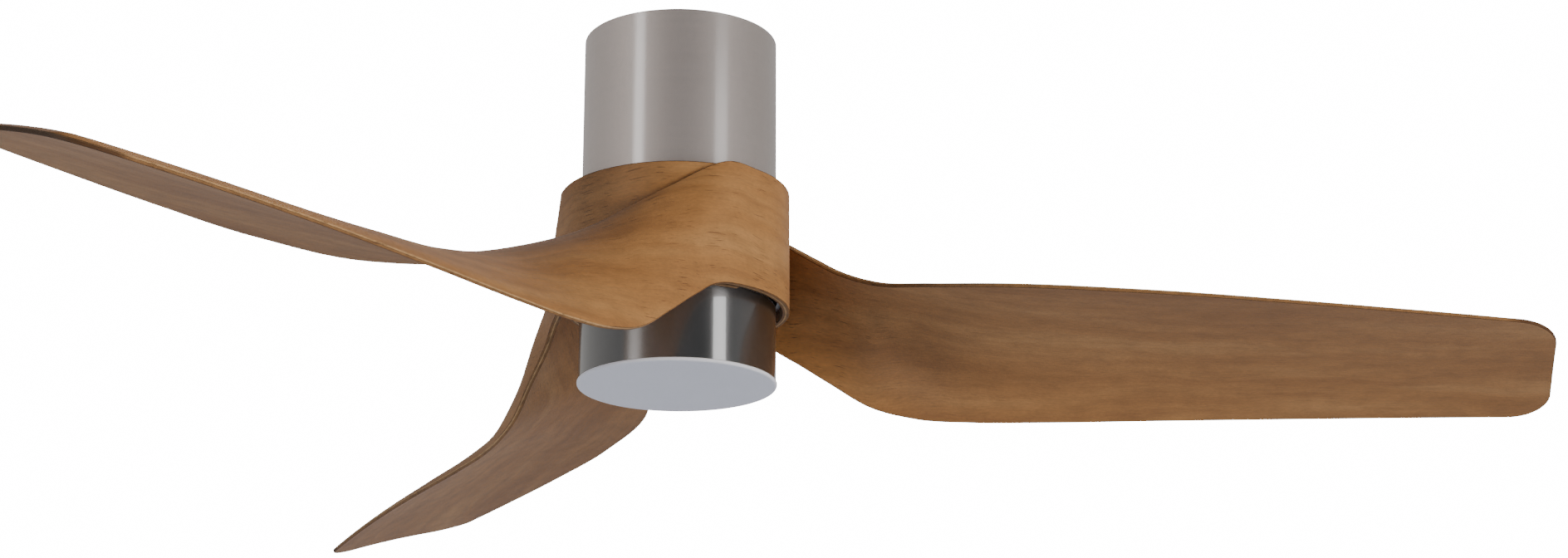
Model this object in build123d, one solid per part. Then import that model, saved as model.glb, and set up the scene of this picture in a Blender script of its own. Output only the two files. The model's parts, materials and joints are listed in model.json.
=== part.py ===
from build123d import *
import math
import os

# Close-to-ceiling fan with a light. Millimetres.
# Origin: on the fan's axis at the ceiling plane. +Z is up, so everything hangs below Z = 0.
# Three bent-ply blades wrap round a hub drum and turn about Z. All else is fixed to the ceiling.

# ---- driving dimensions ----
CANOPY_R = 81.0            # canopy and light housing, outside
CANOPY_BOTTOM = -141.0
CANOPY_WALL = 1.4
CANOPY_FLOOR = 2.5
CEILING_GAP = 0.5          # between the canopy's top edge and the ceiling

RIBBON_TOP = -137.0        # blade roots, where they wrap round the hub
RIBBON_BOTTOM = -238.5
RIBBON_MID_R = 89.0        # middle of the ply, tight against the hub
RIBBON_LIFT = 6.3          # how far the ply stands off where it passes over its neighbour
RIBBON_LIFT_FROM = 125.0   # azimuths in a blade's own frame, degrees
RIBBON_LIFT_TO = 68.0
RIBBON_START = 188.0
RIBBON_END = 76.0
PLY = 6.0                  # blade thickness
TIP_ROUND = 32.0           # plan radius of both tip corners
BLADE_COUNT = 3
FIRST_BLADE = 234.7        # azimuth of the first blade's tip, degrees

HUB_R = 85.9
HUB_WALL = 4.0
HUB_TOP = -146.0
HUB_BOTTOM = -228.0

SHAFT_R = 10.0
SHAFT_BORE = 6.0
SHAFT_BOTTOM = -248.0
FLANGE_R = 32.0
FLANGE_T = 5.0

ROTOR_R = 70.0
ROTOR_WALL = 5.0
ROTOR_PLATE = 4.0
ROTOR_SPLIT = -188.0
ROTOR_BOTTOM = -224.0

BEARING_OUT = 23.5         # 20 x 47 x 14 mm ball bearings
BEARING_T = 14.0
BALL_R = 3.95
BALL_PITCH_R = 16.75
BALLS = 8

STATOR_R = 60.0
STATOR_TOP = -178.0
STATOR_BOTTOM = -198.0
TEETH = 12
MAGNETS = 14

LIGHT_TOP = -231.0         # steel plate that carries the light
LID_TOP = -233.5
HOUSING_BOTTOM = -297.5
HOUSING_WALL = 1.5
TRAY_TOP = -268.0
TRAY_T = 2.5
LENS_R = 81.9
LENS_BOTTOM = -300.6

# A blade beyond the hub, in its own frame: X out to the tip, Y across, Z up.
# Each station is the trailing edge, the leading edge and how far the ply bows between them.
STATIONS = [
    ((58, 84, -241), (51, 81.5, -137), 4),
    ((90, 80, -258), (85, 53, -162), 9),
    ((123, 80.5, -279), (110, 30.5, -183), 16),
    ((157, 80, -300), (135, 8, -203), 20),
    ((196, 79.5, -310.5), (166, -22, -221), 22.5),
    ((240, 78, -313.5), (206, -64, -235), 20),
    ((300, 77.5, -314), (268, -94, -245.5), 18),
    ((400, 77.5, -313.5), (385, -104, -256), 14.5),
    ((500, 76.5, -313.5), (490, -96, -263), 9.5),
    ((600, 73, -314.5), (592, -83.5, -269.5), 6.5),
    ((716, 66, -317), (700, -67.5, -276.5), 3),
]
RIBBON_STEPS = 9           # stations along the wrapped part of a blade
SECTION_STEP = 22.0        # distance between a blade's lofted sections

# ---- fasteners: shank radius, head radius, head height ----
M4 = (1.9, 3.6, 2.4)
M5 = (2.4, 4.5, 3.2)
CLEAR = 0.05               # radial clearance of a screw in its hole


# ---- shapes used more than once ----
ON_TOP = (Align.CENTER, Align.CENTER, Align.MIN)
BELOW = (Align.CENTER, Align.CENTER, Align.MAX)


def tube(r_out, r_in, top, bottom):
    """A tube about Z between two heights, or a disc when r_in is 0."""
    body = Pos(0, 0, bottom) * Cylinder(r_out, top - bottom, align=ON_TOP)
    if r_in > 0:
        body -= Pos(0, 0, bottom - 1) * Cylinder(r_in, top - bottom + 2, align=ON_TOP)
    return body


def rim(body):
    """The outermost circular edges of a turned shell, lowest first."""
    return body.edges().filter_by(GeomType.CIRCLE).group_by(SortBy.RADIUS)[-1].sort_by(Axis.Z)


def block(x, y, z):
    """A box between two values on each axis."""
    size = (x[1] - x[0], y[1] - y[0], z[1] - z[0])
    middle = ((x[0] + x[1]) / 2, (y[0] + y[1]) / 2, (z[0] + z[1]) / 2)
    return Pos(*middle) * Box(*size)


def turned(*profile):
    """A solid turned about Z from a closed outline of (radius, height) points."""
    outline = Polyline(*[(r, 0, z) for r, z in profile], close=True)
    return revolve(make_face(outline), Axis.Z)


def spin(shape, angle):
    return Rot(0, 0, angle) * shape


def around(shape, count, first=0.0):
    """Copies spread evenly about Z, the first one turned by first degrees."""
    return [spin(shape, first + 360 / count * i) for i in range(count)]


def cut_all(body, tools):
    for tool in tools:
        body -= tool
    return body


def join_all(body, extras):
    for extra in extras:
        body += extra
    return body


def screw(size, length):
    """A pan-head screw along Z: the head above Z = 0, the shank below, a hex socket in the head."""
    shank_r, head_r, head_h = size
    head = Cylinder(head_r, head_h, align=ON_TOP)
    head = chamfer(head.edges().sort_by(Axis.Z)[-1], head_h / 4)
    shank = Cylinder(shank_r, length, align=BELOW)
    socket = extrude(RegularPolygon(head_r / 2, 6), head_h)
    return head + shank - Pos(0, 0, head_h / 2) * socket


def hole(size, length):
    """The clearance hole of a screw, along Z and through Z = 0."""
    return Cylinder(size[0] + CLEAR, length)


def radial(shape, r, azimuth, z):
    """Place a shape that lies along +Z so that it points outwards at a radius and azimuth."""
    return Rot(0, 0, azimuth) * Pos(r, 0, z) * Rot(0, 90, 0) * shape


def polar(shape, r, azimuth, z):
    """Place an upright shape at a radius and azimuth."""
    return Rot(0, 0, azimuth) * Pos(r, 0, z) * shape


def save(name, shape):
    solids = shape if isinstance(shape, list) else [shape]
    flat = [s for item in solids for s in item.solids()]
    export_step(flat[0] if len(flat) == 1 else Compound(flat), f"parts/{name}.step")


# ---- ceiling bracket and canopy ----
BRACKET_R = 70.0
BRACKET_T = 2.5
WIRE_HOLE_R = 20.0
BOX_SPACING_WIDE = 88.9    # the two usual ceiling outlet boxes
BOX_SPACING_NARROW = 69.85
SLOT_LENGTH = 12.0
SLOT_R = 2.5
HOOKS = 3
HOOK_AZIMUTH = 30.0
LOCK_AZIMUTHS = (78.0, 102.0)
LOCK_Z = -14.0
GROUND_R = 46.0
GROUND_AZIMUTH = 315.0
TERMINAL_AZIMUTH = 225.0


def ceiling_bracket():
    """Steel disc with box slots, three hooks for the canopy and two threaded lock tabs."""
    plate = tube(BRACKET_R, WIRE_HOLE_R, 0, -BRACKET_T)
    slot = extrude(SlotOverall(SLOT_LENGTH, 2 * SLOT_R), 3 * BRACKET_T, both=True)
    for side in (-1, 1):
        plate -= Pos(side * BOX_SPACING_WIDE / 2, 0, 0) * slot
        plate -= Pos(0, side * BOX_SPACING_NARROW / 2, 0) * spin(slot, 90)
    plate -= polar(hole(M4, 12), GROUND_R, GROUND_AZIMUTH, 0)
    hook = (
        block((60, 74), (-8, 8), (-BRACKET_T, 0))
        + block((71.5, 74), (-8, 8), (-15, 0))
        + block((71.5, 78), (-8, 8), (-15, -12.5))
    )
    plate = join_all(plate, around(hook, HOOKS, HOOK_AZIMUTH))
    for azimuth in LOCK_AZIMUTHS:
        tab = block((60, 76.5), (-6, 6), (-BRACKET_T, 0)) + block((74, 76.5), (-6, 6), (-20, 0))
        plate += spin(tab, azimuth)
        plate -= radial(hole(M4, 30), 75, azimuth, LOCK_Z)
    return plate


def canopy_shell():
    """Spun steel cup, open to the ceiling, with a floor that carries the motor."""
    inner = CANOPY_R - CANOPY_WALL
    floor = CANOPY_BOTTOM + CANOPY_FLOOR
    shell = turned(
        (SHAFT_R + 0.6, CANOPY_BOTTOM),
        (CANOPY_R, CANOPY_BOTTOM),
        (CANOPY_R, -CEILING_GAP),
        (inner, -CEILING_GAP),
        (inner, floor),
        (SHAFT_R + 0.6, floor),
    )
    shell = fillet(rim(shell)[0], 1.6)
    shell = fillet(rim(shell)[-1], 1.0)
    shell = cut_all(shell, around(polar(hole(M5, 20), MOTOR_SCREW_R, 0, floor), MOTOR_SCREWS, 45))
    for azimuth in LOCK_AZIMUTHS:
        shell -= radial(hole(M4, 12), CANOPY_R, azimuth, LOCK_Z)
    return shell


def canopy_lugs():
    """Lugs welded inside the canopy, which rest on the bracket's hooks."""
    lug = block((75, CANOPY_R - CANOPY_WALL - 0.3), (-6, 6), (-12.5, -8.5))
    return around(lug, HOOKS, HOOK_AZIMUTH)


def canopy_screws():
    return [radial(screw(M4, 8.5), CANOPY_R, azimuth, LOCK_Z) for azimuth in LOCK_AZIMUTHS]


# ---- wiring inside the canopy ----
RECEIVER_X = (-45.0, 45.0)
RECEIVER_Y = (38.0, 62.0)
RECEIVER_TOP = -84.0
RECEIVER_WALL = 2.0
TERMINALS = 3


def terminal_block():
    """Three-way screw terminal under the bracket, with wire entries on both long sides."""
    body = block((-18, 18), (-8, 8), (-BRACKET_T - 14, -BRACKET_T))
    for i in range(TERMINALS):
        x = 11.0 * (i - 1)
        body -= Pos(x, 0, -BRACKET_T - 9) * Rot(90, 0, 0) * Cylinder(2.2, 30)
        body -= Pos(x, 0, -BRACKET_T - 14) * Cylinder(2.6, 8)
    return spin(Pos(GROUND_R, 0, 0) * spin(body, 90), TERMINAL_AZIMUTH)


def ground_screw():
    return polar(Rot(180, 0, 0) * screw(M4, BRACKET_T - 0.2), GROUND_R, GROUND_AZIMUTH, -BRACKET_T)


def receiver_case():
    """Remote receiver's open box, standing on the motor plate."""
    floor = CANOPY_BOTTOM + CANOPY_FLOOR + MOTOR_PLATE_T
    outer = block(RECEIVER_X, RECEIVER_Y, (floor, RECEIVER_TOP))
    wall = RECEIVER_WALL
    inner = block(
        (RECEIVER_X[0] + wall, RECEIVER_X[1] - wall),
        (RECEIVER_Y[0] + wall, RECEIVER_Y[1] - wall),
        (floor + wall, RECEIVER_TOP + 1),
    )
    return fillet(outer.edges().filter_by(Axis.Z), 2) - inner


def receiver_cover():
    cover = block(RECEIVER_X, RECEIVER_Y, (RECEIVER_TOP, RECEIVER_TOP + 2))
    cover = fillet(cover.edges().filter_by(Axis.Z), 2)
    return cut_all(cover, [Pos(x, 50, RECEIVER_TOP) * Cylinder(2.5, 10) for x in (-30, -20, 20, 30)])


def receiver_board():
    floor = CANOPY_BOTTOM + CANOPY_FLOOR + MOTOR_PLATE_T + RECEIVER_WALL
    board = block((-42, 42), (49, 50.6), (floor, RECEIVER_TOP - 2))
    for x, w, z, h in ((-26, 18, -106, 22), (2, 14, -112, 14), (24, 10, -104, 26)):
        board += block((x - w / 2, x + w / 2), (43, 49), (z - h / 2, z + h / 2))
    return board


# ---- motor plate and shaft ----
MOTOR_PLATE_R = 65.0
MOTOR_PLATE_T = 4.0
MOTOR_SCREW_R = 24.0
MOTOR_SCREWS = 4
PLATE_TOP = CANOPY_BOTTOM + CANOPY_FLOOR + MOTOR_PLATE_T
FLANGE_TOP = PLATE_TOP + FLANGE_T


def motor_plate():
    plate = tube(MOTOR_PLATE_R, SHAFT_R + 0.6, PLATE_TOP, PLATE_TOP - MOTOR_PLATE_T)
    return cut_all(plate, around(polar(hole(M5, 20), MOTOR_SCREW_R, 0, PLATE_TOP), MOTOR_SCREWS, 45))


def motor_shaft():
    """Hollow fixed shaft with a flange that rests on the motor plate."""
    shaft = tube(SHAFT_R, 0, FLANGE_TOP, SHAFT_BOTTOM) + tube(FLANGE_R, 0, FLANGE_TOP, PLATE_TOP)
    shaft -= tube(SHAFT_BORE, 0, FLANGE_TOP + 1, SHAFT_BOTTOM - 1)
    return cut_all(shaft, around(polar(hole(M5, 20), MOTOR_SCREW_R, 0, PLATE_TOP), MOTOR_SCREWS, 45))


def motor_screws():
    length = FLANGE_T + MOTOR_PLATE_T + CANOPY_FLOOR - 0.5
    return around(polar(screw(M5, length), MOTOR_SCREW_R, 0, FLANGE_TOP), MOTOR_SCREWS, 45)


def shaft_grommet():
    """Rubber bush that keeps the wires off the shaft's top edge."""
    top = FLANGE_TOP + 2
    return turned(
        (4, top), (8.5, top), (8.5, FLANGE_TOP), (SHAFT_BORE - 0.05, FLANGE_TOP),
        (SHAFT_BORE - 0.05, FLANGE_TOP - 5), (4, FLANGE_TOP - 5),
    )


# ---- bearings ----
UPPER_BEARING = -159.5     # middle heights
LOWER_BEARING = -214.5
RACE_IN_R = 14.5
RACE_OUT_R = 19.0


def groove(z):
    return Pos(0, 0, z) * Torus(BALL_PITCH_R, BALL_R + CLEAR)


def inner_race(z):
    return tube(RACE_IN_R, SHAFT_R + 0.03, z + BEARING_T / 2, z - BEARING_T / 2) - groove(z)


def outer_race(z):
    return tube(BEARING_OUT, RACE_OUT_R, z + BEARING_T / 2, z - BEARING_T / 2) - groove(z)


def balls(z):
    return around(Pos(BALL_PITCH_R, 0, z) * Sphere(BALL_R - 0.05), BALLS)


# ---- motor ----
def stator_bush():
    return tube(18, SHAFT_R + 0.03, STATOR_TOP + 3, STATOR_BOTTOM - 3)


def stator_core():
    """Stack of steel laminations: a ring, its teeth and their wide tips."""
    core = tube(34, 18.03, STATOR_TOP, STATOR_BOTTOM)
    tooth = block((33, 58), (-4, 4), (STATOR_BOTTOM, STATOR_TOP))
    core = join_all(core, around(tooth, TEETH))
    sector = tube(STATOR_R, 57, STATOR_TOP, STATOR_BOTTOM) & block((50, 61), (-13.5, 13.5), (-300, 0))
    return join_all(core, around(sector, TEETH))


def stator_coils():
    """One wound coil on each tooth."""
    z_mid = (STATOR_TOP + STATOR_BOTTOM) / 2
    half = (STATOR_TOP - STATOR_BOTTOM) / 2
    coil = block((37, 55.5), (-8.5, 8.5), (z_mid - half - 6, z_mid + half + 6))
    coil = fillet(coil.edges().filter_by(Axis.X), 3.5)
    coil -= block((36, 57), (-4.1, 4.1), (z_mid - half - 0.1, z_mid + half + 0.1))
    return around(coil, TEETH)


def magnet_ring():
    """Arc magnets glued inside the rotor."""
    half = 360 / MAGNETS / 2 - 1.2
    z_top, z_bottom = STATOR_TOP + 2, STATOR_BOTTOM - 2
    outer, inner = ROTOR_R - ROTOR_WALL - 0.05, STATOR_R + 1.0
    reach = 2 * outer
    wedge = Polyline(
        (0, 0),
        (reach * math.cos(math.radians(half)), -reach * math.sin(math.radians(half))),
        (reach * math.cos(math.radians(half)), reach * math.sin(math.radians(half))),
        close=True,
    )
    magnet = tube(outer, inner, z_top, z_bottom) & extrude(make_face(wedge), -400)
    return around(magnet, MAGNETS)


HUB_FLANGE_T = 4.0
HUB_FLANGE_IN = 44.0
HUB_SCREW_R = 58.0
HUB_SCREWS = 6
COVER_TOP = HUB_TOP - HUB_FLANGE_T
LUG_R = 74.0               # the four lugs that join the shell's halves
LUGS = 4
LUG_H = 7.0
POCKET_LIP_R = 12.0
BOSS_R = 28.0


def rotor_upper_cover():
    """Upper half of the motor's shell, with the upper bearing's pocket."""
    shell = turned(
        (POCKET_LIP_R, COVER_TOP),
        (ROTOR_R, COVER_TOP),
        (ROTOR_R, ROTOR_SPLIT),
        (ROTOR_R - ROTOR_WALL, ROTOR_SPLIT),
        (ROTOR_R - ROTOR_WALL, COVER_TOP - ROTOR_PLATE),
        (BOSS_R, COVER_TOP - ROTOR_PLATE),
        (BOSS_R, UPPER_BEARING - BEARING_T / 2),
        (BEARING_OUT, UPPER_BEARING - BEARING_T / 2),
        (BEARING_OUT, UPPER_BEARING + BEARING_T / 2),
        (POCKET_LIP_R, UPPER_BEARING + BEARING_T / 2),
    )
    lug = Pos(LUG_R - 1, 0, ROTOR_SPLIT) * Cylinder(4.5, LUG_H, align=ON_TOP)
    shell = join_all(shell, around(lug, LUGS, 45))
    shell = cut_all(shell, around(polar(hole(M4, 12), LUG_R, 0, ROTOR_SPLIT), LUGS, 45))
    return cut_all(shell, around(polar(hole(M4, 12), HUB_SCREW_R, 0, COVER_TOP), HUB_SCREWS))


def rotor_lower_cover():
    """Lower half of the motor's shell, with cooling holes and the lower bearing's pocket."""
    pocket = LOWER_BEARING - BEARING_T / 2
    shell = turned(
        (POCKET_LIP_R, ROTOR_BOTTOM),
        (ROTOR_R, ROTOR_BOTTOM),
        (ROTOR_R, ROTOR_SPLIT),
        (ROTOR_R - ROTOR_WALL, ROTOR_SPLIT),
        (ROTOR_R - ROTOR_WALL, ROTOR_BOTTOM + ROTOR_PLATE),
        (BOSS_R, ROTOR_BOTTOM + ROTOR_PLATE),
        (BOSS_R, LOWER_BEARING + BEARING_T / 2),
        (BEARING_OUT, LOWER_BEARING + BEARING_T / 2),
        (BEARING_OUT, pocket),
        (POCKET_LIP_R, pocket),
    )
    lug = Pos(LUG_R - 1, 0, ROTOR_SPLIT) * Cylinder(4.5, LUG_H, align=BELOW)
    shell = join_all(shell, around(lug, LUGS, 45))
    shell = cut_all(shell, around(polar(hole(M4, 30), LUG_R, 0, ROTOR_SPLIT), LUGS, 45))
    return cut_all(shell, around(polar(Cylinder(6, 20), 46, 0, ROTOR_BOTTOM), 6))


def cover_screws():
    one = polar(Rot(180, 0, 0) * screw(M4, LUG_H + 5), LUG_R, 0, ROTOR_SPLIT - LUG_H)
    return around(one, LUGS, 45)


# ---- hub drum ----
SCREW_AZIMUTHS = (140.0, 172.0)    # in each blade's own frame
SCREW_HEIGHTS = (-165.0, -212.0)
INSERT_R = 3.4
INSERT_END = 91.0


def blade_screw_places():
    """Azimuth and height of every screw that holds a blade."""
    return [
        (FIRST_BLADE + 360 / BLADE_COUNT * k + azimuth, z)
        for k in range(BLADE_COUNT)
        for azimuth in SCREW_AZIMUTHS
        for z in SCREW_HEIGHTS
    ]


def blade_hub():
    """Aluminium drum on top of the motor's shell, which the blades are screwed to."""
    hub = tube(HUB_R, HUB_R - HUB_WALL, HUB_TOP, HUB_BOTTOM)
    hub += tube(HUB_R - 1, HUB_FLANGE_IN, HUB_TOP, HUB_TOP - HUB_FLANGE_T)
    hub = cut_all(hub, around(polar(hole(M4, 20), HUB_SCREW_R, 0, HUB_TOP), HUB_SCREWS))
    flat = HUB_R - HUB_WALL
    for azimuth, z in blade_screw_places():
        hub -= radial(hole(M5, 16), HUB_R, azimuth, z)
        hub -= radial(Pos(0, 0, -6) * Cylinder(M5[1] + 0.6, 12.6), flat, azimuth, z)
    return hub


def hub_screws():
    one = polar(screw(M4, HUB_FLANGE_T + ROTOR_PLATE - 0.5), HUB_SCREW_R, 0, HUB_TOP)
    return around(one, HUB_SCREWS)


def blade_screws():
    """Radial screws, heads inside the drum."""
    seat = HUB_R - HUB_WALL + 0.3
    one = Rot(180, 0, 0) * screw(M5, INSERT_END - seat - 0.6)
    return [radial(one, seat, azimuth, z) for azimuth, z in blade_screw_places()]


def blade_inserts():
    """Threaded brass inserts in the ply."""
    start = RIBBON_MID_R - PLY / 2 + 0.2
    body = Cylinder(INSERT_R - CLEAR, INSERT_END - start, align=ON_TOP)
    body -= Cylinder(M5[0] + CLEAR, 30)
    return [radial(body, start, azimuth, z) for azimuth, z in blade_screw_places()]


# ---- blades ----
def ribbon_radius(azimuth):
    """Middle radius of the wrapped ply: round at first, then lifting over the next blade's root."""
    if azimuth >= RIBBON_LIFT_FROM:
        return RIBBON_MID_R
    part = (RIBBON_LIFT_FROM - azimuth) / (RIBBON_LIFT_FROM - RIBBON_LIFT_TO)
    return RIBBON_MID_R + RIBBON_LIFT * part**1.4


def blade_stations():
    """Trailing edge, leading edge and bow at each section, from the wrapped root to the tip."""
    sections = []
    for i in range(RIBBON_STEPS):
        azimuth = RIBBON_START + (RIBBON_END - RIBBON_START) * i / (RIBBON_STEPS - 1)
        r = ribbon_radius(azimuth)
        x, y = r * math.cos(math.radians(azimuth)), r * math.sin(math.radians(azimuth))
        sections.append((Vector(x, y, RIBBON_BOTTOM), Vector(x, y, RIBBON_TOP), 0.0))
    for trailing, leading, bow in STATIONS:
        sections.append((Vector(*trailing), Vector(*leading), float(bow)))
    return sections


def smooth_curve(knots, rows):
    """A smooth curve through rows of numbers, as a function of the knot value."""
    last = len(rows) - 1

    def rate(i, j):
        return (rows[i + 1][j] - rows[i][j]) / (knots[i + 1] - knots[i])

    def slope(i, j):
        if i == 0:
            return 2 * rate(0, j) - slope(1, j)
        if i == last:
            return 2 * rate(last - 1, j) - slope(last - 1, j)
        before, after = knots[i] - knots[i - 1], knots[i + 1] - knots[i]
        return (rate(i - 1, j) * after + rate(i, j) * before) / (before + after)

    def at(t):
        i = max(k for k in range(last) if k == 0 or knots[k] <= t)
        width = knots[i + 1] - knots[i]
        u = (t - knots[i]) / width
        row = []
        for j in range(len(rows[0])):
            start, end = rows[i][j], rows[i + 1][j]
            rise = end - start
            leave, arrive = slope(i, j) * width, slope(i + 1, j) * width
            second = 3 * rise - 2 * leave - arrive
            third = leave + arrive - 2 * rise
            row.append(start + u * leave + u**2 * second + u**3 * third)
        return row

    return at


def blade_sections():
    """Evenly spaced sections along the whole blade, each with the direction of the ply there."""
    stations = blade_stations()
    middles = [(trailing + leading) * 0.5 for trailing, leading, _ in stations]
    knots = [0.0]
    for before, after in zip(middles, middles[1:]):
        knots.append(knots[-1] + (after - before).length)
    at = smooth_curve(knots, [(*trailing, *leading, bow) for trailing, leading, bow in stations])

    def middle(t):
        row = at(t)
        return (Vector(*row[:3]) + Vector(*row[3:6])) * 0.5

    count = round(knots[-1] / SECTION_STEP)
    sections = []
    for i in range(count + 1):
        t = knots[-1] * i / count
        row = at(t)
        along = (middle(t + 1) - middle(t - 1)).normalized()
        sections.append(blade_section(Vector(*row[:3]), Vector(*row[3:6]), row[6], along))
    return sections


def blade_section(trailing, leading, bow, along):
    """One section of the ply: a shallow bow of constant thickness between the two edges."""
    chord = leading - trailing
    out = chord.cross(along).normalized()
    lean = math.atan2(4 * bow, chord.length)
    side = chord.normalized()
    half = PLY / 2
    at_trailing = (out * math.cos(lean) - side * math.sin(lean)) * half
    at_leading = (out * math.cos(lean) + side * math.sin(lean)) * half
    crown = (trailing + leading) * 0.5 + out * (2 * bow)
    at_crown = out * (half / math.cos(lean))
    outer = Bezier(trailing + at_trailing, crown + at_crown, leading + at_leading)
    inner = Bezier(leading - at_leading, crown - at_crown, trailing - at_trailing)
    ends = [
        Line(leading + at_leading, leading - at_leading),
        Line(trailing - at_trailing, trailing + at_trailing),
    ]
    return make_face([outer, ends[0], inner, ends[1]])


def corner_cutter(corner, along, across, angle):
    """Removes the corner beyond a fillet of TIP_ROUND, seen in plan.

    along and across are unit plan vectors from the corner down its two edges.
    """
    reach = TIP_ROUND / math.tan(angle / 2)
    first, second = corner + along * reach, corner + across * reach
    inward = (along + across).normalized()
    centre = corner + inward * (TIP_ROUND / math.sin(angle / 2))
    middle = centre - inward * TIP_ROUND
    outside = corner - inward * 30
    outline = [
        ThreePointArc(first, middle, second),
        Line(second, second - inward * 30),
        Line(second - inward * 30, outside - inward * 20),
        Line(outside - inward * 20, first - inward * 30),
        Line(first - inward * 30, first),
    ]
    return Pos(0, 0, -400) * extrude(make_face(outline), 300, dir=(0, 0, 1))


def tip_cutters():
    """The two rounded tip corners."""
    (n0, n1), (f0, f1) = [
        [Vector(*station[side][:2], 0) for station in STATIONS[-2:]] for side in (0, 1)
    ]
    end = (f1 - n1).normalized()
    cutters = []
    for corner, inner, across in ((n1, n0, end), (f1, f0, end * -1)):
        along = (inner - corner).normalized()
        angle = math.acos(along.dot(across))
        out = (along + across).normalized()
        cutters.append(corner_cutter(corner - out * (PLY / 4), along, across, angle))
    return cutters


def blade():
    """One bent-ply blade in its own frame, with blind holes for its inserts."""
    body = loft(blade_sections())
    body = cut_all(body, tip_cutters())
    depth = INSERT_END - RIBBON_MID_R + PLY
    pocket = Cylinder(INSERT_R, depth, align=BELOW)
    for azimuth in SCREW_AZIMUTHS:
        for z in SCREW_HEIGHTS:
            body -= radial(pocket, INSERT_END, azimuth, z)
    return body


# ---- light ----
PLATE_R = 72.0
PLATE_T = 2.5
LID_T = 1.5
HOUSING_SCREW_R = 55.0
HOUSING_SCREWS = 3
POST_R = 68.0
POSTS = 3
POST_AZIMUTH = 30.0
BOARD_R = 56.0
FINS = 24


def light_plate():
    plate = tube(PLATE_R, SHAFT_R + 0.03, LIGHT_TOP, LIGHT_TOP - PLATE_T)
    return cut_all(plate, around(polar(hole(M4, 12), HOUSING_SCREW_R, 0, LIGHT_TOP), HOUSING_SCREWS, 90))


def light_housing():
    """Polished cup, open below, that hangs on the light plate."""
    inner = CANOPY_R - HOUSING_WALL
    shell = turned(
        (SHAFT_R + 0.3, LID_TOP),
        (CANOPY_R, LID_TOP),
        (CANOPY_R, HOUSING_BOTTOM),
        (inner, HOUSING_BOTTOM),
        (inner, LID_TOP - LID_T),
        (SHAFT_R + 0.3, LID_TOP - LID_T),
    )
    shell = fillet(rim(shell)[-1], 1.2)
    return cut_all(shell, around(polar(hole(M4, 12), HOUSING_SCREW_R, 0, LID_TOP), HOUSING_SCREWS, 90))


def housing_screws():
    one = polar(Rot(180, 0, 0) * screw(M4, LID_T + PLATE_T), HOUSING_SCREW_R, 0, LID_TOP - LID_T)
    return around(one, HOUSING_SCREWS, 90)


WASHER_T = 1.2
NUT_T = 8.0
NUT_AF_R = 15.0


def shaft_washer():
    top = LID_TOP - LID_T
    return tube(17, SHAFT_R + 0.1, top, top - WASHER_T)


def shaft_nut():
    top = LID_TOP - LID_T - WASHER_T
    nut = extrude(RegularPolygon(NUT_AF_R, 6, major_radius=False), NUT_T)
    nut -= Cylinder(SHAFT_R + 0.03, 40)
    return Pos(0, 0, top - NUT_T) * nut


def led_driver():
    """Potted driver box under the housing's lid."""
    top = LID_TOP - LID_T
    body = block((-36, 36), (-56, -26), (top - 22, top))
    body = fillet(body.edges().filter_by(Axis.Z), 3)
    return cut_all(body, [Pos(x, -41, top - 14) * Rot(0, 90, 0) * Cylinder(3, 6) for x in (-36, 36)])


def tray_posts():
    top = LID_TOP - LID_T
    post = Pos(POST_R, 0, TRAY_TOP) * Cylinder(4, top - TRAY_TOP, align=ON_TOP)
    post -= polar(hole(M4, 16), POST_R, 0, TRAY_TOP)
    return around(post, POSTS, POST_AZIMUTH)


def heat_sink():
    """Aluminium tray with radial fins, which carries the LED board."""
    tray = tube(78.5, 0, TRAY_TOP, TRAY_TOP - TRAY_T)
    fin = block((18, 63), (-0.6, 0.6), (TRAY_TOP - 0.5, TRAY_TOP + 7))
    tray = join_all(tray, around(fin, FINS, 7.5))
    return cut_all(tray, around(polar(hole(M4, 16), POST_R, 0, TRAY_TOP), POSTS, POST_AZIMUTH))


def tray_screws():
    one = polar(Rot(180, 0, 0) * screw(M4, TRAY_T + 6), POST_R, 0, TRAY_TOP - TRAY_T)
    return around(one, POSTS, POST_AZIMUTH)


BOARD_T = 1.6
BOARD_TOP = TRAY_TOP - TRAY_T
LED_RINGS = ((6, 14.0), (12, 30.0), (18, 46.0))    # count and radius


def led_board():
    return tube(BOARD_R, 0, BOARD_TOP, BOARD_TOP - BOARD_T)


def led_chips():
    z = BOARD_TOP - BOARD_T
    chips = []
    for count, r in LED_RINGS:
        chips += around(block((r - 1.75, r + 1.75), (-1.75, 1.75), (z - 0.8, z)), count)
    return chips


def reflector():
    """White cone from the board's edge to the diffuser."""
    return turned(
        (56.6, BOARD_TOP), (57.8, BOARD_TOP), (76.2, -286), (76.2, -289), (75, -289), (75, -286.4),
    )


GASKET_T = 0.6


def lens_gasket():
    return tube(80.6, 79.7, HOUSING_BOTTOM, HOUSING_BOTTOM - GASKET_T)


def diffuser():
    """Frosted dish that closes the housing, with a collar that plugs into it."""
    rim_top = HOUSING_BOTTOM - GASKET_T
    dish = turned(
        (77, -287), (79.2, -287), (79.2, rim_top), (LENS_R, rim_top),
        (LENS_R, LENS_BOTTOM), (0, LENS_BOTTOM), (0, LENS_BOTTOM + 2.2), (77, LENS_BOTTOM + 2.2),
    )
    return fillet(rim(dish)[0], 1.6)


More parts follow.
